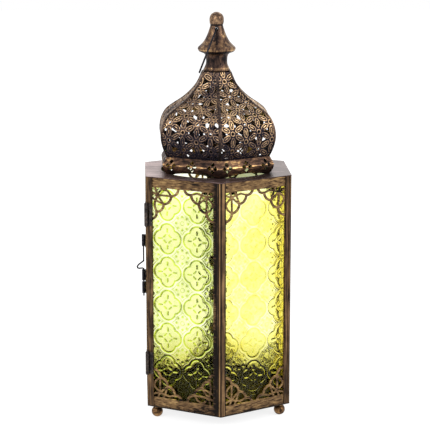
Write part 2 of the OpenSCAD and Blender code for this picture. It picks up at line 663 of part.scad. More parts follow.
module hinge_post_leaf(mid_z) color("gray") on_face(5) {
    low_z = stand_h + mid_z - hinge_h / 2;
    middle_h = hinge_h * middle_knuckle_share;
    end_h = (hinge_h - middle_h) / 2 - move_gap;
    difference() {
        union() {
            translate([body_a, barrel_y, low_z]) cube([leaf_t, leaf_w - hinge_inset, hinge_h]);
            knuckle(low_z, end_h);
            knuckle(low_z + hinge_h - end_h, end_h);
        }
        hinge_bore(low_z);
        translate([body_a - over, barrel_y - 2 * knuckle_r, low_z + end_h])
            cube([2 * knuckle_r, 3 * knuckle_r + 2 * move_gap, middle_h + 2 * move_gap]);
    }
}

module hinge_door_leaf(mid_z) color("gray") {
    middle_h = hinge_h * middle_knuckle_share;
    low_z = stand_h + mid_z - middle_h / 2;
    axis_y = barrel_x * sin(turn) + barrel_y * cos(turn);
    difference() {
        union() {
            on_face(5) knuckle(low_z, middle_h);
            on_face(4) translate([body_a, side_w / 2 - leaf_w, low_z])
                cube([leaf_t, axis_y - side_w / 2 + leaf_w - hinge_pin_r, middle_h]);
            on_face(4) translate([body_a, side_w / 2 - leaf_w, stand_h + mid_z - hinge_h / 2])
                cube([leaf_t, leaf_w - 2 * door_edge_gap, hinge_h]);
        }
        on_face(5) hinge_bore(stand_h + mid_z - hinge_h / 2);
    }
}

module hinge_pin(mid_z) color("silver") on_face(5) {
    low_z = stand_h + mid_z - hinge_h / 2;
    translate([barrel_x, barrel_y, low_z]) cylinder(r = hinge_pin_r, h = hinge_h, $fn = 32);
    for (z = [low_z - pin_head_t, low_z + hinge_h])
        translate([barrel_x, barrel_y, z]) cylinder(r = pin_head_r, h = pin_head_t, $fn = 32);
}

module door_frame() color("darkgoldenrod") on_face(4)
    stamped_frame(4, body_a, side_w / 2 - door_edge_gap, floor_z + door_end_gap,
                  ceiling_z - door_end_gap);

// Latch tube in the plan of face 4
module latch_tube(low_z, h) translate([latch_x, latch_y, low_z]) cylinder(r = tube_r, h = h, $fn = 32);
module latch_bore(low_z, h) on_face(4) translate([latch_x, latch_y, low_z - over])
    cylinder(r = wire_r + wire_slack, h = h + 2 * over, $fn = 32);

module latch_guide(low_z, h) color("gray") difference() {
    on_face(4) {
        latch_tube(low_z, h);
        translate([body_a, latch_y - wire_r, low_z])
            cube([leaf_t, tongue_w - side_w / 2 - latch_y + wire_r, h]);
    }
    latch_bore(low_z, h);
}

module latch_keeper() color("gray") difference() {
    far_y = latch_x * sin(turn) + latch_y * cos(turn);
    union() {
        on_face(4) latch_tube(keeper_low_z, keeper_h);
        on_face(3) translate([body_a, side_w / 2 - tongue_w, keeper_low_z])
            cube([leaf_t, far_y - side_w / 2 + tongue_w - wire_r, keeper_h]);
    }
    latch_bore(keeper_low_z, keeper_h);
}

module latch_pin() color("dimgray") on_face(4) translate([latch_x, latch_y, 0]) {
    loop = [for (s = loop_shares) [s[0] * loop_reach, loop_low_z + s[1] * loop_h]];
    wire = concat([[0, wire_high_z]], loop, [[0, wire_low_z]]);
    for (i = [0:len(wire) - 2]) wire_run(wire[i], wire[i + 1]);
    for (i = [1:len(wire) - 2]) translate([wire[i][0], 0, wire[i][1]])
        sphere(r = wire_bend_r, $fn = 24);
}
module wire_run(p, q) translate([p[0], 0, p[1]]) rotate([0, atan2(q[0] - p[0], q[1] - p[1]), 0])
    cylinder(r = wire_r, h = norm(q - p), $fn = 24);

module foot_front_left() ball_foot(foot_corners[2]);
module foot_front_right() ball_foot(foot_corners[0]);
module foot_rear() ball_foot(foot_corners[1]);
module post_front() corner_post(0);
module post_front_right() corner_post(1);
module post_rear_right() corner_post(2);
module post_rear() corner_post(3);
module post_rear_left() door_post(3, 1);
module post_front_left() door_post(5, -1);
module window_front_right() window_frame(0);
module window_right() window_frame(1);
module window_rear_right() window_frame(2);
module window_rear_left() window_frame(3);
module window_front_left() window_frame(5);
module glass_front_right() pane(0, inside_a);
module glass_right() pane(1, inside_a);
module glass_rear_right() pane(2, inside_a);
module glass_rear_left() pane(3, inside_a);
module glass_front_left() pane(5, inside_a);
module glass_clips() color("dimgray") for (k = [0, 1, 2, 3, 5]) pane_clips(k, inside_a);
module door_glass() pane(4, frame_a);
module door_glass_clips() color("dimgray") pane_clips(4, frame_a);
module hinge_post_leaf_upper() hinge_post_leaf(upper_hinge_z);
module hinge_door_leaf_upper() hinge_door_leaf(upper_hinge_z);
module hinge_pin_upper() hinge_pin(upper_hinge_z);
module hinge_post_leaf_lower() hinge_post_leaf(lower_hinge_z);
module hinge_door_leaf_lower() hinge_door_leaf(lower_hinge_z);
module hinge_pin_lower() hinge_pin(lower_hinge_z);
module latch_guide_upper() latch_guide(guide_a_low_z, guide_a_h);
module latch_guide_middle() latch_guide(guide_b_low_z, guide_b_h);
module gore_front_right() gore(0);
module gore_right() gore(1);
module gore_rear_right() gore(2);
module gore_rear_left() gore(3);
module gore_left() gore(4);
module gore_front_left() gore(5);
module seam_front() seam(0);
module seam_front_right() seam(1);
module seam_rear_right() seam(2);
module seam_rear() seam(3);
module seam_rear_left() seam(4);
module seam_front_left() seam(5);

base_pan();
foot_front_left();
foot_front_right();
foot_rear();
foot_nuts();
post_front();
post_front_right();
post_rear_right();
post_rear();
post_rear_left();
post_front_left();
window_front_right();
window_right();
window_rear_right();
window_rear_left();
window_front_left();
glass_front_right();
glass_right();
glass_rear_right();
glass_rear_left();
glass_front_left();
glass_clips();
door_frame();
door_glass();
door_glass_clips();
hinge_post_leaf_upper();
hinge_door_leaf_upper();
hinge_pin_upper();
hinge_post_leaf_lower();
hinge_door_leaf_lower();
hinge_pin_lower();
latch_guide_upper();
latch_guide_middle();
latch_keeper();
latch_pin();
roof_plate();
dome_collar();
gore_front_right();
gore_right();
gore_rear_right();
gore_rear_left();
gore_left();
gore_front_left();
seam_front();
seam_front_right();
seam_rear_right();
seam_rear();
seam_rear_left();
seam_front_left();
crown_plate();
finial_neck();
finial_skirt();
finial_ball();
finial_rod();
finial_nut();
hanging_ring();
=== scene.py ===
import math
from functools import reduce

import bpy
import numpy as np
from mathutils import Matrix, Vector


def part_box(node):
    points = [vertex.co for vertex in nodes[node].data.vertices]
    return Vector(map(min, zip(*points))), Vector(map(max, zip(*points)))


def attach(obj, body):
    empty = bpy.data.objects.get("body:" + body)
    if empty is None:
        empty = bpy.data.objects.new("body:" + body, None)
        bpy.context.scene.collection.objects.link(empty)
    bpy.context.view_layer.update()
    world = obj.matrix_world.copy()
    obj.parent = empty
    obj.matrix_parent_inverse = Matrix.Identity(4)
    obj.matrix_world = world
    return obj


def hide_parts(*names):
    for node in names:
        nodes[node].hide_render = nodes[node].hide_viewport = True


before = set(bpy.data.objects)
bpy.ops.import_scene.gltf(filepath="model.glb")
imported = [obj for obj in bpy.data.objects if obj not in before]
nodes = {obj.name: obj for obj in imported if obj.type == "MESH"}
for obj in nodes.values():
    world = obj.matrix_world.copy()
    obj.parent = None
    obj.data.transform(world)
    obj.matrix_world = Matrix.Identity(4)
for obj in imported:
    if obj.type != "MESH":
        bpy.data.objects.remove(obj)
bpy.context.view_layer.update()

# Lengths are in millimetres unless a comment says metres, and MM turns them into metres
MM = 0.001

# Sizes that part.scad has too
SIDE_W = 92.0
SHEET_T = 1.0
SEAT_GAP = 0.2
GLASS_T = 3.0
POST_LEG_W = 7.5
COLLAR_H = 18.7
DOME_H, DOME_R = 90.6, 72.0
NECK_H, SKIRT_H = 20.0, 30.6
HALF_TURN = math.radians(30)
BODY_A = SIDE_W * math.cos(HALF_TURN)
FRAME_A = BODY_A - SHEET_T
INSIDE_A = BODY_A - 2 * SHEET_T
GLASS_HALF_W = (INSIDE_A - SEAT_GAP - GLASS_T) * math.tan(HALF_TURN) - 2 * SEAT_GAP
GLASS_LOW, GLASS_HIGH = 22.8, 267.0
WINDOW_HALF_W = SIDE_W / 2 - POST_LEG_W
WINDOW_LOW, WINDOW_HIGH = 26.2, 263.8
ROOF_Z = 275.4
DOME_LOW = ROOF_Z + COLLAR_H
NECK_LOW = DOME_LOW + DOME_H
SKIRT_LOW = NECK_LOW + NECK_H
BALL_LOW = SKIRT_LOW + SKIRT_H

# The dome's outline, as shares of its height and of its widest reach
DOME_SHARES = [(0, 0.893), (0.108, 0.961), (0.24, 1), (0.372, 0.976), (0.488, 0.893),
               (0.57, 0.757), (0.637, 0.62), (0.725, 0.478), (0.846, 0.339), (1, 0.242)]
DOME_STEPS = 3
ROSETTE_PITCH = 19.5
COLUMN_W = ROSETTE_PITCH * math.cos(HALF_TURN)
COLUMN_PLACE_SHARES = [-0.14, 0.2, 0.5, -0.3, 0.08, 0.42]
FIRST_ROW_SHARE = 0.07
ROSETTE_COLUMNS, ROSETTE_ROWS = range(-3, 4), range(-1, 7)

# The six faces in the order of their numbers, and the number of the one with the door
FACES = ["front_right", "right", "rear_right", "rear_left", "left", "front_left"]
DOOR = 4

# The camera that was fitted to the photo: its distance from the axis, its height and its angles
CAMERA_DISTANCE, CAMERA_Z = 1745.2, 581.8
CAMERA_AZIMUTH, CAMERA_PITCH, CAMERA_YAW = (math.radians(a) for a in (3.0, 11.646, 0.06))
PHOTO_W, FOCAL_PIXELS = 430, 1584.2
SENSOR_W = 36

# Of each lamp, in metres and watts: name, place, the height it is aimed at, width, power
LAMPS = [("lamp_left", (-1.5, -1.5, 1.5), 0.28, 1.1, 24),
         ("lamp_right", (1.7, -1.0, 1.3), 0.28, 1.1, 21),
         ("lamp_back", (0.3, 1.8, 1.6), 0.3, 1.2, 14)]

# The stage: how strongly its white surroundings light the lantern, how strongly the floor glows
# where it's seen, the floor's own grey, and half of the floor's width in metres
WHITE = (1, 1, 1, 1)
SOFT_LIGHT, FLOOR_GLOW = 0.55, 0.84
FLOOR_GREY = (0.4, 0.4, 0.4, 1)
FLOOR_HALF_W = 6.0


# Camera and lamps
def new_object(name, data):
    obj = bpy.data.objects.new(name, data)
    bpy.context.scene.collection.objects.link(obj)
    return obj


def place_camera():
    distance = CAMERA_DISTANCE * MM
    camera = bpy.data.cameras.new("camera")
    camera.sensor_width = SENSOR_W
    camera.lens = FOCAL_PIXELS / PHOTO_W * SENSOR_W
    obj = new_object("camera", camera)
    obj.location = (-distance * math.sin(CAMERA_AZIMUTH), -distance * math.cos(CAMERA_AZIMUTH),
                    CAMERA_Z * MM)
    obj.rotation_euler = (math.pi / 2 - CAMERA_PITCH, 0, -CAMERA_AZIMUTH + CAMERA_YAW)
    bpy.context.scene.camera = obj


def add_lamp(name, place, aim_z, width, power):
    data = bpy.data.lights.new(name, "AREA")
    data.shape, data.size, data.energy = "DISK", width, power
    obj = new_object(name, data)
    obj.location = place
    way = Vector((0, 0, aim_z)) - Vector(place)
    obj.rotation_euler = way.to_track_quat("-Z", "Y").to_euler()


# Node helpers
def rgb(r, g, b):
    """A colour seen on a screen, 0 to 255, as the shader's linear colour."""
    return tuple((c / 255 / 12.92 if c <= 10 else ((c / 255 + 0.055) / 1.055) ** 2.4)
                 for c in (r, g, b)) + (1,)


def tones(*colours):
    """The colours of a metal, from its patina to where it's rubbed bright."""
    return [rgb(*colour) for colour in colours]


def empty_tree(owner):
    owner.use_nodes = True
    owner.node_tree.nodes.clear()
    return owner.node_tree


def add(tree, kind, values=None, **settings):
    """A new node. Each of its values is linked, if it's a socket, or else set on the input."""
    node = tree.nodes.new("ShaderNode" + kind)
    for key, value in settings.items():
        setattr(node, key, value)
    for key, value in (values or {}).items():
        if isinstance(value, bpy.types.NodeSocket):
            tree.links.new(value, node.inputs[key])
        else:
            node.inputs[key].default_value = value
    return node


def maths(tree, operation, *values):
    return add(tree, "Math", dict(enumerate(values)), operation=operation).outputs[0]


def ramp(tree, level, stops):
    """The colour at a level, from stops that each have a level and a colour."""
    node = add(tree, "ValToRGB", {"Fac": level})
    elements = node.color_ramp.elements
    while len(elements) < len(stops):
        elements.new(0.5)
    for element, (place, colour) in zip(elements, stops):
        element.position, element.color = place, colour
    return node.outputs["Color"]


def new_material(name):
    mat = bpy.data.materials.new(name)
    return mat, empty_tree(mat)


def set_surface(tree, values):
    shader = add(tree, "BsdfPrincipled", values)
    add(tree, "OutputMaterial", {"Surface": shader.outputs[0]})


class Level:
    """A number in a material's nodes, which is summed and compared as a plain number is."""

    def __init__(self, tree, socket):
        self.tree, self.socket = tree, socket

    def join(self, operation, *others):
        values = [o.socket if isinstance(o, Level) else o for o in others]
        return Level(self.tree, maths(self.tree, operation, self.socket, *values))

    def __add__(self, other):
        return self.join("ADD", other)

    def __sub__(self, other):
        return self.join("SUBTRACT", other)

    def __mul__(self, other):
        return self.join("MULTIPLY", other)

    def __truediv__(self, other):
        return self.join("DIVIDE", other)


# Maths that works on a Level and on an array alike, so that a mesh and its material agree
def larger(a, b):
    return a.join("MAXIMUM", b) if isinstance(a, Level) else np.maximum(a, b)


def smaller(a, b):
    return a.join("MINIMUM", b) if isinstance(a, Level) else np.minimum(a, b)


def limited(a, low=0.0, high=1.0):
    return smaller(larger(a, low), high)


def magnitude(a):
    return a.join("ABSOLUTE") if isinstance(a, Level) else np.abs(a)


def reach(a, b):
    """The distance that a and b make at a right angle."""
    return (a * a + b * b).join("SQRT") if isinstance(a, Level) else np.sqrt(a * a + b * b)


def wrapped(a, span):
    """a, brought within half a span of 0 by whole spans."""
    if isinstance(a, Level):
        return a.join("WRAP", span / 2, -span / 2)
    return (a + span / 2) % span - span / 2


def hump(gap, width):
    """1 on a line and falling off to 0 on both sides of it."""
    scaled = gap * (1 / width)
    square = scaled * scaled * -1.0
    return square.join("EXPONENT") if isinstance(gap, Level) else np.exp(square)


# Values that a material's nodes start from
def kept_value(tree, name):
    """A value that a mesh keeps at each of its points."""
    return Level(tree, add(tree, "Attribute", attribute_name=name).outputs["Fac"])


def object_place(tree):
    return add(tree, "TexCoord").outputs["Object"]


def place_axes(tree):
    """Where a point is along x, y and z, in metres."""
    axes = add(tree, "SeparateXYZ", {"Vector": object_place(tree)}).outputs
    return [Level(tree, axes[axis]) for axis in ("X", "Y", "Z")]


def noise(tree, vector, scale, detail, roughness=0.5, distortion=0.0):
    return Level(tree, add(tree, "TexNoise", {
        "Vector": vector, "Scale": scale, "Detail": detail, "Roughness": roughness,
        "Distortion": distortion}).outputs["Fac"])


def bump(tree, height, strength, distance):
    """The normal over a height that is in units of distance, which is in metres."""
    return add(tree, "Bump", {"Height": height.socket, "Strength": strength,
                              "Distance": distance}).outputs[0]


# Worn metal
TONE_STOPS = (0.36, 0.45, 0.54, 0.66)
METAL_BUMP, METAL_BUMP_H = 0.25, 0.6
HUB_RING_R = 2.3


def metal(name, colours, stretch=(1, 1, 1), fine=420, mottle=26, mottle_share=0.55,
          metallic=0.85, rough=(0.62, 0.36), pattern=None, low=None, scuffs=0.12, edges=()):
    """Worn metal. The level, from 0 in the patina to 1 where it's rubbed bright, sets colour, roughness
    and bump; pattern, low and edges can add painted light and shade to it. fine and mottle are the
    scales of its noise, and stretch scales the place for the fine one. pattern adds what the mesh's
    values or the place say. low is two heights and by how much it's darker at the first one, going down
    to nothing at the second. scuffs is the strength of black marks. edges are heights with a width and a
    change: painted highlights where the change is over 0 and painted shade where it's under."""
    mat, tree = new_material(name)
    place = object_place(tree)
    turned = add(tree, "Mapping", {"Vector": place, "Scale": stretch}).outputs[0]
    level = (noise(tree, place, mottle, 7.0, 0.68, 0.6) * mottle_share
             + noise(tree, turned, fine, 3.0, 0.65) * (1 - mottle_share))
    marks = noise(tree, turned, mottle * 4, 4.0, 0.7)
    level = level + smaller((marks - 0.42) * 14, 0.0) * scuffs
    if pattern:
        level = level + pattern(tree)
    z = place_axes(tree)[2]
    # Darker low down: painted shade on the dome, its seams, the collar and the roof plate's edge
    if low:
        start, end, change = low
        level = level + smaller((z - end * MM) * (change / (end - start) / MM), 0.0)
    # Painted highlights and painted shade in bands round the thing
    for height, width, change in edges:
        level = level + hump(z - height * MM, width * MM) * change
    roughness = add(tree, "MapRange", {"Value": level.socket, "From Min": 0.35, "From Max": 0.65,
                                       "To Min": rough[0], "To Max": rough[1]}).outputs[0]
    set_surface(tree, {
        "Base Color": ramp(tree, level.socket, list(zip(TONE_STOPS, colours))),
        "Metallic": metallic, "Roughness": roughness,
        "Normal": bump(tree, level, METAL_BUMP, METAL_BUMP_H * MM)})
    return mat


def petal_lines(tree):
    """Bright on the raised lines of the dome's petals and hubs, with painted shade that dims them toward
    the left, and dark in the petals' grooves."""
    petal, groove, core, hub = (kept_value(tree, n) for n in ("petal", "groove", "core", "hub"))
    raised = larger(larger(hump(petal, 0.6), hump(core, 0.45)), hump(hub - HUB_RING_R, 0.65))
    x = place_axes(tree)[0]
    # Painted shade: the raised lines are less bright toward the left
    lit_toward_right = limited(x * (1 / (50 * MM)) + 0.7, 0.6, 1.0)
    return raised * lit_toward_right * 0.24 - hump(groove, 0.5) * 0.14 - 0.05


def front_shade(tree):
    """Painted shade: a dark streak down the front of the finial's cone."""
    x, y, z = place_axes(tree)
    front = limited(y * (-1 / (3 * MM)))
    cone = limited((z - (SKIRT_LOW + 3.3) * MM) * (1 / (4 * MM)))
    return hump(x + 0.5 * MM, 1.5 * MM) * front * cone * -0.14


def profile_shade(tree):
    """How light each line of the near post's outline is: painted shade in its grooves and recessed
    flanges, lighter on its bead.
    """
    return kept_value(tree, "tone")


def corner_shade(tree):
    """Painted shade, black where the front left frame meets the near post."""
    x, y, _ = place_axes(tree)
    left = limited(x * (-1 / MM))
    return hump(reach(x, y + SIDE_W * MM), 8.5 * MM) * left * -0.35


def shade_toward_right(tree):
    """Painted shade, darker from the middle toward the right."""
    return limited(place_axes(tree)[0] * (1 / (60 * MM))) * -0.14


# The pattern of the pressed glass repeats every FOIL_W across and FOIL_H up. It's a quatrefoil with
# a second line outside it, and in it a stroke in each lobe and a bent leaf line on each diagonal.
# In the middle between four quatrefoils are a small ring, the eye, and eight dots round it.
FOIL_W, FOIL_H = 36.9, 37.4
LOBE_AT, LOBE_R = 7.5, 9.2
OUTER_LINE = 3.3
RIDGES = [(1.8, 1.0), (4.6, 0.7)]
RIDGE_W = 0.8
STROKE_AT, STROKE_HALF_L = 9.3, 1.8
LEAF_PRODUCT, LEAF_END = 9.0, 4.6
DOT_AT, SLANTED_DOT_AT = 7.5, 5.4
EYE_R = 2.3

# Of each line: its width and how much it counts, in the colour, the bump and the mesh's height
COLOUR_LINES = [("foil", 0.8, 1.0), ("stroke", 0.8, 1.0), ("leaf", 0.65, 0.95), ("dot", 1.5, 1.0),
                ("eye", 0.5, 0.6), ("outer", 0.5, 0.5)]
BUMP_LINES = [("foil", 0.75, 0.35), ("outer", 0.5, 0.12), ("stroke", 0.9, 0.4),
              ("leaf", 0.65, 0.3), ("dot", 1.2, 0.25)]
MESH_LINES = [("foil", 1.1, 0.5), ("stroke", 1.3, 0.4), ("leaf", 1.1, 0.3), ("dot", 1.4, 0.2)]

# Heights in millimetres below which the relief stands up more, and below which the glass has painted
# shade
STEEP_BELOW, SHADED_BELOW = 84, 74
LEAST_STEEPNESS = 0.13
GLASS_IOR, GLASS_ROUGHNESS = 1.48, 0.05
DIM_REFLECTION = (0.12, 0.12, 0.06, 1)
# Colours multiplied in as painted shade, the first low down on the panes and the second at the top of
# the rear right pane
LOW_SHADE, TOP_SHADE = (0.72, 0.68, 0.3, 1), (0.36, 0.38, 0.25, 1)


def pressed_lines(across, up):
    """How far a point of a pane is from each line that is pressed in it."""
    a, b = magnitude(wrapped(across, FOIL_W)), magnitude(wrapped(up, FOIL_H))
    most, least = larger(a, b), smaller(a, b)
    p, q = a * -1.0 + FOIL_W / 2, b * -1.0 + FOIL_H / 2
    far, near = larger(p, q), smaller(p, q)
    foil = reach(most - LOBE_AT, least) - LOBE_R
    return {
        "foil": foil,
        "outer": foil - OUTER_LINE,
        "stroke": reach(larger(magnitude(most - STROKE_AT) - STROKE_HALF_L, 0.0), least),
        "leaf": larger(magnitude((a * b - LEAF_PRODUCT) / (a + b + 0.01)), (most - LEAF_END) * 1.5),
        "dot": smaller(reach(far - DOT_AT, near), reach(far - SLANTED_DOT_AT, near - SLANTED_DOT_AT)),
        "eye": magnitude(reach(p, q) - EYE_R)}


def marked(gaps, lines):
    """How much each of the lines counts at a point."""
    return [hump(gaps[key], width) * share for key, width, share in lines]


def total(levels):
    return reduce(lambda a, b: a + b, levels)


def steepness(side, z):
    """How much of the relief stands up: little in the middle of a pane, nearly all of it at the
    right edge and much of it low down."""
    low_down = limited((z * -1.0 + STEEP_BELOW) * 0.03, 0.0, 0.7)
    return smaller(side * 0.85 + low_down + LEAST_STEEPNESS, 1.0)


def pressed_glass(name, tint, pale, line, marks, at_side, shade, relief=1.0, shaded_above=None):
    """Pressed glass. Lines of a deeper colour run beside pale ridges, and the relief bends the light.
    Toward the side the ground goes over to at_side, a painted view of what is seen through the pane
    there, and the lines to shade, which is painted shade. marks says how much of the lines shows. Low
    down the glass has painted shade, and so has it above a height where one is given."""
    mat, tree = new_material(name)
    across, up, side = (kept_value(tree, n) for n in ("across", "up", "side"))
    place = object_place(tree)
    z = place_axes(tree)[2] * (1 / MM)
    cloud = noise(tree, place, 520.0, 3.0, 0.75)
    patch = noise(tree, place, 130.0, 2.0)
    grain = noise(tree, place, 620.0, 2.0)

    def mixed(share, a, b, **settings):
        return add(tree, "Mix", {0: share.socket, 6: a, 7: b}, data_type="RGBA", **settings).outputs[2]

    gaps = pressed_lines(across, up)
    deep = smaller(reduce(larger, marked(gaps, COLOUR_LINES)) * marks, 1.0)
    ridge = reduce(larger, [hump(gaps["foil"] - at, RIDGE_W) * share for at, share in RIDGES])
    inside = limited(gaps["foil"] * -0.8)
    paleness = (cloud - 0.5) * 1.6 + ridge * 1.2 - inside * 0.2 + 0.36
    ground = ramp(tree, paleness.socket, [(0.0, tint), (1.0, pale)])
    # Painted view toward the side: the ground goes over to the colour of what is seen through the pane
    # there
    ground = mixed(limited(side * 1.3 + (patch - 0.5) * 2.0 - 0.1), ground, at_side)
    # Painted shade on the lines toward the side
    shaded = limited(side * 1.5 + (patch - 0.5) * 3.0 - 0.4)
    colour = mixed(deep, ground, mixed(shaded, line, shade))
    # Painted shade low down on the pane
    shaded_low = limited((z * -1.0 + SHADED_BELOW) * 0.028 + (patch - 0.5) * 0.6)
    colour = mixed(shaded_low, colour, LOW_SHADE, blend_type="MULTIPLY")
    # Painted shade above a given height
    if shaded_above:
        colour = mixed(limited((z - shaded_above) * 0.1), colour, TOP_SHADE, blend_type="MULTIPLY")
    height = total(marked(gaps, BUMP_LINES)) * steepness(side, z) * relief + grain * 0.06
    set_surface(tree, {
        "Base Color": colour, "Normal": bump(tree, height, 1.0, MM), "Roughness": GLASS_ROUGHNESS,
        "Transmission Weight": 1.0, "IOR": GLASS_IOR, "Specular Tint": DIM_REFLECTION})
    return mat


# Stage
def shows_stage(tree):
    """1 for a ray that shows the stage itself, seen straight, mirrored or through glass, and 0 for
    one that only gathers its light."""
    rays = add(tree, "LightPath").outputs
    return maths(tree, "MAXIMUM", rays["Is Camera Ray"],
                 maths(tree, "MAXIMUM", rays["Is Glossy Ray"], rays["Is Transmission Ray"]))


def make_world():
    world = bpy.data.worlds.new("world")
    bpy.context.scene.world = world
    tree = empty_tree(world)
    soft, white = (add(tree, "Background", {"Color": WHITE, "Strength": strength}).outputs[0]
                   for strength in (SOFT_LIGHT, 1.0))
    mix = add(tree, "MixShader", {0: shows_stage(tree), 1: soft, 2: white}).outputs[0]
    add(tree, "OutputWorld", {"Surface": mix})


def make_floor():
    w = FLOOR_HALF_W
    mesh = bpy.data.meshes.new("floor")
    mesh.from_pydata([(-w, -w, 0), (w, -w, 0), (w, w, 0), (-w, w, 0)], [], [(0, 1, 2, 3)])
    floor = new_object("floor", mesh)
    mat, tree = new_material("floor_paper")
    paper = add(tree, "BsdfDiffuse", {"Color": FLOOR_GREY}).outputs[0]
    strength = maths(tree, "MULTIPLY", shows_stage(tree), FLOOR_GLOW)
    glow = add(tree, "Emission", {"Color": WHITE, "Strength": strength}).outputs[0]
    add(tree, "OutputMaterial", {"Surface": add(tree, "AddShader", {0: paper, 1: glow}).outputs[0]})
    mesh.materials.append(mat)


# Mesh helpers
def piece(name, mesh, body, material, node):
    """A piece that shows in place of a node of the frame."""
    obj = new_object(name, mesh)
    mesh.materials.append(material)
    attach(obj, body)
    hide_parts(node)
    return obj


def face_turn(k):
    """The angle about the axis, from x on, at which face k is."""
    return math.radians(60 * (k - 1))


def turned_about_axis(points, angle):
    c, s = math.cos(angle), math.sin(angle)
    x, y, z = points[:, 0], points[:, 1], points[:, 2]
    return np.stack([x * c - y * s, x * s + y * c, z], 1)


def spline(shares, widest, height, low, steps):
    """The smooth outline through the shares, as part.scad draws it: [distance, height]."""
    p = np.array([(r * widest, low + h * height) for h, r in shares])
    last = len(p) - 1
    line = []
    for i in range(last):
        a, b, c, d = p[max(i - 1, 0)], p[i], p[i + 1], p[min(i + 2, last)]
        for t in np.arange(steps) / steps:
            line.append((2 * b + (c - a) * t + (2 * a - 5 * b + 4 * c - d) * t * t
                         + (3 * b - a - 3 * c + d) * t ** 3) / 2)
    return np.array(line + [p[last]])


def ellipse_gap(u, v, a, b):
    """Distance of points from an ellipse's line, less than 0 inside, close to true near it."""
    q = np.sqrt((u / a) ** 2 + (v / b) ** 2) + 1e-9
    return (q - 1) * q / np.sqrt((u / a ** 2) ** 2 + (v / b ** 2) ** 2 + 1e-12)


def grid_steps(low, high, pitch):
    return np.linspace(low, high, int((high - low) / pitch) + 1)


NEAREST_CUT = 0.06


def cut_sheet(xs, ys, value):
    """The part of a grid where value is over 0, with its edge cut between the grid's points.
    Returns the places of its points, and its faces as lists of indices into the places."""
    keep = value > 0
    number = -np.ones(value.shape, int)
    number[keep] = np.arange(keep.sum())
    gx, gy = np.meshgrid(xs, ys)
    count = int(keep.sum())
    crossing = {}

    def cross(a, b):
        nonlocal count
        key = (a, b) if a < b else (b, a)
        if key not in crossing:
            va, vb = value[a], value[b]
            t = min(max(va / (va - vb), NEAREST_CUT), 1 - NEAREST_CUT)
            crossing[key] = (count, (xs[a[1]] + (xs[b[1]] - xs[a[1]]) * t,
                                     ys[a[0]] + (ys[b[0]] - ys[a[0]]) * t))
            count += 1
        return crossing[key][0]

    whole = keep[:-1, :-1] & keep[:-1, 1:] & keep[1:, 1:] & keep[1:, :-1]
    j, i = np.nonzero(whole)
    faces = np.stack([number[j, i], number[j, i + 1], number[j + 1, i + 1],
                      number[j + 1, i]], 1).tolist()
    some = keep[:-1, :-1] | keep[:-1, 1:] | keep[1:, 1:] | keep[1:, :-1]
    for j, i in zip(*np.nonzero(some & ~whole)):
        corners = [(j, i), (j, i + 1), (j + 1, i + 1), (j + 1, i)]
        face = []
        for a, b in zip(corners, corners[1:] + corners[:1]):
            if keep[a]:
                face.append(int(number[a]))
            if keep[a] != keep[b]:
                face.append(cross(a, b))
        if len(face) > 2:
            faces.append(face)
    edge = np.array([p for _, p in sorted(crossing.values())]).reshape(-1, 2)
    return np.concatenate([np.stack([gx[keep], gy[keep]], 1), edge]), faces


def mesh_from(name, points, faces, **values):
    """A smooth mesh from points, with named values at each point for its material."""
    mesh = bpy.data.meshes.new(name)
    mesh.from_pydata((np.asarray(points) * MM).tolist(), [], faces)
    for key, value in values.items():
        mesh.attributes.new(key, "FLOAT", "POINT").data.foreach_set(
            "value", np.asarray(value, np.float32))
    mesh.polygons.foreach_set("use_smooth", [True] * len(mesh.polygons))
    mesh.update()
    return mesh


# The dome's pierced sides. Each petal has four ellipses, of which half the length and half the
# width are given: the edge of its metal, its raised line, its groove and its raised core. Of each
# stamped line, its width and its height are given. The widths after SOLID stay without holes.
PETAL_ELLIPSES = {"outer": (8.0, 3.25), "petal": (5.1, 2.4), "groove": (3.7, 1.3), "core": (2.3, 0.3)}
STAMPED_LINES = [("petal", 0.7, 1.0), ("core", 0.6, 0.9), ("ring", 0.75, 0.8), ("groove", 0.5, -0.6)]
PETAL_REACH = 16.0
HUB_R, HUB_HOLE_R = 6.5, 1.4
SOLID_EDGE, SOLID_FOOT, SOLID_TOP = 2.0, 2.2, 4.5
DOME_GRID = 0.5
DOME_SHEET_T = 0.8
DOME_RELIEF = 0.32

dome_line = spline(DOME_SHARES, DOME_R * math.cos(HALF_TURN), DOME_H, DOME_LOW, DOME_STEPS)
dome_length = np.concatenate([[0], np.cumsum(np.linalg.norm(np.diff(dome_line, axis=0), axis=1))])


def dome_out(along):
    """How far a side of the dome is from the axis, at a length along its outline."""
    return np.interp(along, dome_length, dome_line[:, 0])


def dome_up(along):
    return np.interp(along, dome_length, dome_line[:, 1])


def rosettes(x, y, place):
    """The stamped pattern at points of a side: the gap to the holes' edges, and how far each point
    is from the lines of the petals and from the middle of a hub."""
    hub = np.full(x.shape, 1e6)
    lines = {name: hub.copy() for name in PETAL_ELLIPSES}
    for i in ROSETTE_COLUMNS:
        for j in ROSETTE_ROWS:
            hx, hy = (i + place) * COLUMN_W, (j + FIRST_ROW_SHARE + (i % 2) / 2) * ROSETTE_PITCH
            hub = np.minimum(hub, np.hypot(x - hx, y - hy))
            for angle in (90, 30, -30):
                c, s = math.cos(math.radians(angle)), math.sin(math.radians(angle))
                dx, dy = x - hx - ROSETTE_PITCH / 2 * c, y - hy - ROSETTE_PITCH / 2 * s
                u, v = dx * c + dy * s, dy * c - dx * s
                near = np.abs(u) + np.abs(v) < PETAL_REACH
                u, v = u[near], v[near]
                for name, (a, b) in PETAL_ELLIPSES.items():
                    gap = ellipse_gap(u, v, a, b)
                    if name in ("petal", "groove"):
                        gap = np.abs(gap)
                    lines[name][near] = np.minimum(lines[name][near], gap)
    hole = np.minimum(lines.pop("outer"), hub - HUB_R)
    lines["core"] = np.maximum(lines["core"], 0)
    lines["hub"] = hub
    return np.minimum(-hole, hub - HUB_HOLE_R), lines


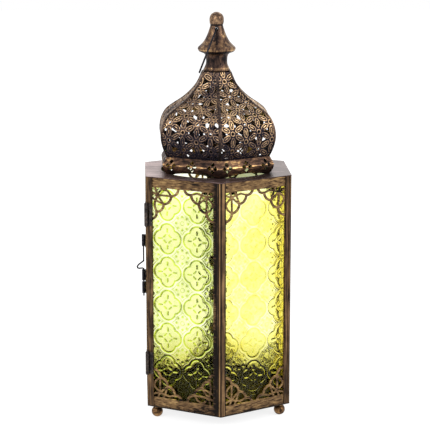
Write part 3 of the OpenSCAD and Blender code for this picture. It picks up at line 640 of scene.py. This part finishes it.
def dome_side(k):
    """One side of the dome, a stamped and pierced sheet between two seams."""
    length = dome_length[-1]
    ys = grid_steps(0, length, DOME_GRID)
    xs = grid_steps(-DOME_R / 2, DOME_R / 2, DOME_GRID)
    gx, gy = np.meshgrid(xs, ys)
    side = dome_out(gy) * math.tan(HALF_TURN) - np.abs(gx)
    solid = np.maximum(SOLID_EDGE - side, np.maximum(SOLID_FOOT - gy, gy - length + SOLID_TOP))
    gap = rosettes(gx, gy, COLUMN_PLACE_SHARES[k])[0]
    places, faces = cut_sheet(xs, ys, np.minimum(side, np.maximum(gap, solid)))
    x, y = places[:, 0], places[:, 1]
    gap, lines = rosettes(x, y, COLUMN_PLACE_SHARES[k])
    height = total(marked(dict(lines, ring=lines["hub"] - HUB_RING_R), STAMPED_LINES))
    fade = np.clip((dome_out(y) * math.tan(HALF_TURN) - np.abs(x)) / 2, 0, 1)
    height = height * fade - 0.5 * np.exp(-np.maximum(gap, 0) / 0.5) * (gap < 2) * fade
    step = 0.8
    slope = np.stack([dome_out(y + step) - dome_out(y - step), dome_up(y + step) - dome_up(y - step)], 1)
    slope /= np.linalg.norm(slope, axis=1)[:, None]
    lift = DOME_RELIEF * height
    points = np.stack([dome_out(y) + slope[:, 1] * lift, x, dome_up(y) - slope[:, 0] * lift], 1)
    name = f"dome_side_{FACES[k]}"
    mesh = mesh_from(name, turned_about_axis(points, face_turn(k)), faces, **lines)
    obj = piece(name, mesh, "lantern", materials["dome"], f"gore_{FACES[k]}")
    sheet = obj.modifiers.new("sheet", "SOLIDIFY")
    sheet.thickness, sheet.offset = DOME_SHEET_T * MM, -1


# Panes of pressed glass. Of each pane: its glass, how far a column of its pattern is from the left
# corner of its face, how far its rows are over those of the front left pane, and its relief.
PANES = [("glass_gold", 7.7, -3.9, 1.0), ("glass_amber", 37.0, 3.0, 0.4),
         ("glass_shaded_top", 50.0, -6.0, 0.4), ("glass_pale", 32.0, 5.0, 0.4),
         ("glass_green", 57.0, 0.0, 1.0), ("glass_green", 24.3, 0.0, 1.0)]
PATTERN_ROW_Z = 207.5
PANE_GRID = 0.75
RIGHT_SIDE_W, LEFT_SIDE_W, LEFT_SIDE_SHARE = 22, 16, 0.4

# How far the ground of the pattern is under the solid's outer side, and how far the relief goes on
# past the window's edge
GROUND_DEPTH = 0.75
RELIEF_MARGIN = 2.0


def right_side(across):
    """From 0 in the middle of a pane to 1 at its right edge, and a little at its left edge."""
    right = np.clip(1 - (WINDOW_HALF_W - across) / RIGHT_SIDE_W, 0, 1)
    left = np.clip(1 - (WINDOW_HALF_W + across) / LEFT_SIDE_W, 0, 1)
    return np.maximum(right, LEFT_SIDE_SHARE * left)


def pane(k, name, node, body, outer_a):
    """A pane of pressed glass, with its pattern on the outer side, which is outer_a from the axis,
    and a flat inner side."""
    glass, column, row, relief = PANES[k]
    left, low = column - SIDE_W / 2, PATTERN_ROW_Z + row
    gx, gz = np.meshgrid(grid_steps(-GLASS_HALF_W, GLASS_HALF_W, PANE_GRID),
                         grid_steps(GLASS_LOW, GLASS_HIGH, PANE_GRID))
    lines = marked(pressed_lines(gx - left, gz - low), MESH_LINES)
    height = relief * steepness(right_side(gx), gz) * total(lines)
    inside = np.minimum(WINDOW_HALF_W + RELIEF_MARGIN - np.abs(gx),
                        np.minimum(gz - WINDOW_LOW + RELIEF_MARGIN, WINDOW_HIGH + RELIEF_MARGIN - gz))
    inset = np.clip(inside / 2, 0, 1)
    front = np.stack([outer_a - GROUND_DEPTH + height * inset, gx, gz], 2).reshape(-1, 3)
    index = np.arange(gx.size).reshape(gx.shape)
    faces = np.stack([index[:-1, :-1], index[:-1, 1:], index[1:, 1:], index[1:, :-1]],
                     2).reshape(-1, 4).tolist()
    rim = np.concatenate([index[0, :], index[1:, -1], index[-1, -2::-1], index[-2:0:-1, 0]])
    back = front[rim].copy()
    back[:, 0] = outer_a - GLASS_T
    start, n = gx.size, len(rim)
    for i in range(n):
        j = (i + 1) % n
        faces.append([int(rim[j]), int(rim[i]), start + i, start + j])
    faces.append([start + n - 1 - i for i in range(n)])
    points = np.concatenate([front, back])
    mesh = mesh_from(name, turned_about_axis(points, face_turn(k)), faces,
                     across=points[:, 1] - left, up=points[:, 2] - low, side=right_side(points[:, 1]))
    mesh.polygons.foreach_set("use_smooth", [len(f) == 4 for f in faces])
    piece(name, mesh, body, materials[glass], node)


# Frames. Of each that isn't true in the photo: its face, and how far the left and the right half of
# its window are moved to the right. The two moves blend within BLEND_HALF_W of the middle.
SHIFTED_FRAMES = [(5, 0, -2.6), (0, -1.0, -0.9)]
FRAME_SEAT_W = 2.8
BLEND_HALF_W = 3.0


def shifted_frame(k, left_shift, right_shift):
    """The stamped frame of face k with the left and the right half of its window a little to one
    side. The frame's outer edge stays where it is seated."""
    node = f"window_{FACES[k]}"
    mesh = nodes[node].data.copy()
    places = np.empty(3 * len(mesh.vertices))
    mesh.vertices.foreach_get("co", places)
    places = places.reshape(-1, 3)
    turn = face_turn(k)
    tangent = np.array([-math.sin(turn), math.cos(turn), 0])
    along = places @ tangent / MM
    seat = SIDE_W / 2 - FRAME_SEAT_W
    shift = np.interp(along, [-seat, -WINDOW_HALF_W, -BLEND_HALF_W, BLEND_HALF_W, WINDOW_HALF_W, seat],
                      [0, left_shift, left_shift, right_shift, right_shift, 0])
    places += shift[:, None] * tangent * MM
    mesh.vertices.foreach_set("co", places.reshape(-1))
    mesh.materials.clear()
    mesh.update()
    piece(f"frame_{FACES[k]}", mesh, "lantern", materials["rail"], node)


# The near post. Its outline goes from its left edge over the corner to its right edge: distance from the
# corner, depth under the face, tone. The tone is painted shade, darkest in the grooves and recessed
# flanges and lighter on the bead.
NEAR_POST_LEFT = [(6.4, 1.0, -0.3), (6.4, 0.8, -0.3), (5.45, 0.8, -0.3), (5.4, 0.5, -0.2),
                  (5.15, 0.15, -0.1), (4.75, 0.0, -0.06), (4.2, 0.0, -0.08), (3.8, 0.15, -0.15),
                  (3.55, 0.5, -0.2), (3.5, 0.85, -0.3), (2.9, 0.85, -0.3), (2.8, 0.3, -0.1),
                  (2.6, 0.0, 0.13), (1.2, 0.0, 0.13), (0.8, 0.0, -0.1), (0.4, 0.0, -0.3)]
NEAR_POST_RIGHT = [(0.4, 0.0, -0.2), (1.0, 0.0, 0), (2.2, 0.0, 0.07), (4.2, 0.0, 0.04),
                   (5.0, 0.0, 0), (5.25, 0.12, -0.1), (5.3, 0.75, -0.2), (6.7, 0.75, -0.2),
                   (6.7, 1.0, -0.2)]
# Painted shade at the post's inner corner
INNER_CORNER_SHADE = -0.2
SHARP_ANGLE = math.radians(35)


def near_post():
    """The post at the near corner, whose left leg has a bead between two grooves."""
    low, high = (corner[2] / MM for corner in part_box("post_front"))
    line = []
    for side, profile in ((-1, NEAR_POST_LEFT), (1, NEAR_POST_RIGHT)):
        along, inward = (side * math.cos(HALF_TURN), 0.5), (-side * 0.5, math.cos(HALF_TURN))
        line += [(s * along[0] + d * inward[0], -SIDE_W + s * along[1] + d * inward[1], tone)
                 for s, d, tone in profile]
    line.append((0, -SIDE_W + SHEET_T / math.cos(HALF_TURN), INNER_CORNER_SHADE))
    n = len(line)
    points = [(x, y, z) for z in (low, high) for x, y, _ in line]
    faces = [[i, (i + 1) % n, n + (i + 1) % n, n + i] for i in range(n)]
    faces += [list(range(n))[::-1], list(range(n, 2 * n))]
    mesh = mesh_from("near_post", points, faces, tone=[t for _, _, t in line] * 2)
    mesh.set_sharp_from_angle(angle=SHARP_ANGLE)
    piece("near_post", mesh, "lantern", materials["near_post"], "post_front")


# The view
place_camera()
make_world()
make_floor()
for lamp in LAMPS:
    add_lamp(*lamp)

# Materials
BLACK = (26, 20, 16)
POST_TONES = tones((22, 18, 16), (58, 44, 32), (102, 78, 54), (150, 118, 82))
POST_GRAIN = dict(stretch=(1, 1, 0.04), fine=700, mottle=26, mottle_share=0.45)
# The last two colours are a painted view toward the side of a pane and painted shade on its lines there
PALE_GLASS = ((0.985, 0.985, 0.8, 1), (1, 1, 0.97, 1), (0.9, 0.93, 0.5, 1), 0.6,
              (0.98, 0.98, 0.76, 1), (0.6, 0.65, 0.3, 1))

materials = {
    # Painted shade where the front left frame meets the near post
    "rail": metal("brass_rails", tones(BLACK, (88, 66, 46), (134, 106, 71), (190, 156, 104)),
                  stretch=(0.2, 0.2, 1), scuffs=0.17, fine=700, mottle=30, mottle_share=0.45,
                  low=(8, 28, 0.07), pattern=corner_shade),
    "post": metal("brass_posts", POST_TONES, **POST_GRAIN),
    # Painted shade in the near post's grooves and recessed flanges
    "near_post": metal("brass_near_post", POST_TONES, **POST_GRAIN, pattern=profile_shade),
    # Painted shade: the pan is made dark and dull for the shade inside the lantern
    "pan": metal("brass_pan", tones((14, 11, 9), (26, 20, 14), (44, 34, 22), (84, 64, 40)),
                 mottle=30, metallic=0.0, rough=(1.0, 1.0)),
    # Painted shade: the dome and its seams darken toward their foot
    "dome": metal("brass_dome", tones((22, 20, 32), (60, 49, 49), (126, 101, 82), (206, 172, 126)),
                  mottle=20, mottle_share=0.6, fine=600, pattern=petal_lines,
                  low=(DOME_LOW + 4.9, DOME_LOW + 35.9, 0.15)),
    "seam": metal("brass_seams", tones((18, 15, 16), (50, 39, 36), (88, 70, 60), (136, 108, 78)),
                  mottle=30, low=(DOME_LOW + 4.9, DOME_LOW + 27.9, 0.1)),
    # Painted shade on the collar's lower part, and a painted highlight along its ridge
    "collar": metal("brass_collar", tones((20, 16, 15), (54, 38, 31), (98, 72, 54), (200, 160, 104)),
                    stretch=(0.3, 0.3, 1), mottle=28, low=(ROOF_Z + 0.6, ROOF_Z + 10.6, 0.08),
                    edges=[(ROOF_Z + 10.8, 0.6, 0.1)]),
    # The finial's and the ball's edges are painted highlights on the skirt's rim and the neck's flange,
    # and painted shade in the creases, under the rim and on the neck
    "finial": metal("brass_finial", tones((24, 19, 20), (62, 46, 40), (108, 82, 62), (196, 160, 112)),
                    stretch=(1, 1, 0.4), fine=300, mottle=44, pattern=front_shade,
                    edges=[(BALL_LOW, 0.6, -0.25), (SKIRT_LOW + 3.7, 0.7, 0.1),
                           (SKIRT_LOW + 0.9, 1.0, -0.2), (NECK_LOW + 3.5, 0.8, 0.08),
                           (NECK_LOW + 12.3, 6.5, -0.12), (NECK_LOW + 0.3, 0.5, -0.2)]),
    "ball": metal("brass_ball", tones((44, 34, 31), (92, 71, 56), (136, 108, 84), (196, 160, 118)),
                  fine=300, mottle=50, edges=[(BALL_LOW + 0.3, 0.7, -0.25)]),
    # Painted shade on the roof plate's edge and toward the right
    "roof": metal("dull_roof", tones((66, 50, 46), (114, 93, 90), (147, 123, 120), (174, 152, 149)),
                  stretch=(0.15, 1, 1), fine=420, mottle=14, metallic=0.9, rough=(0.42, 0.3),
                  low=(ROOF_Z - 0.8, ROOF_Z - 0.05, 0.3), pattern=shade_toward_right),
    "dark": metal("blackened_steel", tones((24, 22, 24), (50, 44, 43), (74, 66, 62), (112, 96, 84)),
                  mottle=60, metallic=0.8, rough=(0.6, 0.4)),
    "latch": metal("blackened_latch", tones((14, 14, 18), (26, 26, 32), (42, 40, 46), (66, 62, 64)),
                   mottle=60, metallic=0.8, rough=(0.7, 0.5)),
    "steel": metal("plain_steel", tones((90, 90, 90), (130, 130, 132), (160, 160, 160), (196, 196, 196)),
                   mottle=80, metallic=1.0, rough=(0.45, 0.3)),
    "foot": metal("brass_feet", tones(BLACK, (84, 60, 38), (140, 104, 66), (196, 158, 108)),
                  mottle=60),
    # Of each glass, the last two colours are painted: the ground toward the side, for what is seen
    # through the pane there, and painted shade on the lines there
    "glass_green": pressed_glass("glass_green", (0.88, 0.91, 0.46, 1), (1, 1, 0.99, 1),
                                 (0.62, 0.8, 0.0, 1), 1.0, (0.66, 0.74, 0.3, 1),
                                 (0.02, 0.05, 0.01, 1)),
    "glass_gold": pressed_glass("glass_gold", (0.98, 0.98, 0.4, 1), (1, 1, 0.8, 1),
                                (0.88, 0.88, 0.12, 1), 0.7, (0.97, 0.84, 0.14, 1),
                                (0.62, 0.52, 0.06, 1), relief=0.55),
    "glass_pale": pressed_glass("glass_pale", *PALE_GLASS, relief=0.4),
    # Painted shade at the top of the rear right pane, above 240 mm
    "glass_shaded_top": pressed_glass("glass_shaded_top", *PALE_GLASS, relief=0.4, shaded_above=240),
    "glass_amber": pressed_glass("glass_amber", (0.98, 0.93, 0.45, 1), (1, 0.98, 0.62, 1),
                                 (0.86, 0.76, 0.16, 1), 0.7, (0.96, 0.9, 0.4, 1),
                                 (0.4, 0.32, 0.06, 1), relief=0.4),
}

# The material of each node that shows as it is in the frame, by its name or by how that starts
material_by_name = {"base_pan": "pan", "foot_nuts": "steel", "roof_plate": "roof",
                    "dome_collar": "collar", "crown_plate": "dark", "finial_ball": "ball",
                    "finial_rod": "steel", "finial_nut": "steel", "hanging_ring": "latch",
                    "door_frame": "rail"}
material_by_start = {"foot_": "foot", "post_": "post", "window_": "rail", "glass_clips": "dark",
                     "door_glass_clips": "dark", "hinge_": "dark", "latch_": "latch",
                     "seam_": "seam", "finial_": "finial"}
for name, obj in nodes.items():
    by_start = (material for start, material in material_by_start.items() if name.startswith(start))
    kind = material_by_name.get(name) or next(by_start, None)
    if kind:
        obj.data.materials.clear()
        obj.data.materials.append(materials[kind])

# Pieces that show in place of nodes of the frame
for k in range(len(FACES)):
    dome_side(k)

for shifted in SHIFTED_FRAMES:
    shifted_frame(*shifted)

near_post()

for k, face in enumerate(FACES):
    if k == DOOR:
        pane(k, "pane_door", "door_glass", "door", FRAME_A - SEAT_GAP)
    else:
        pane(k, f"pane_{face}", f"glass_{face}", "lantern", INSIDE_A - SEAT_GAP)

bpy.context.scene.view_settings.view_transform = "Standard"
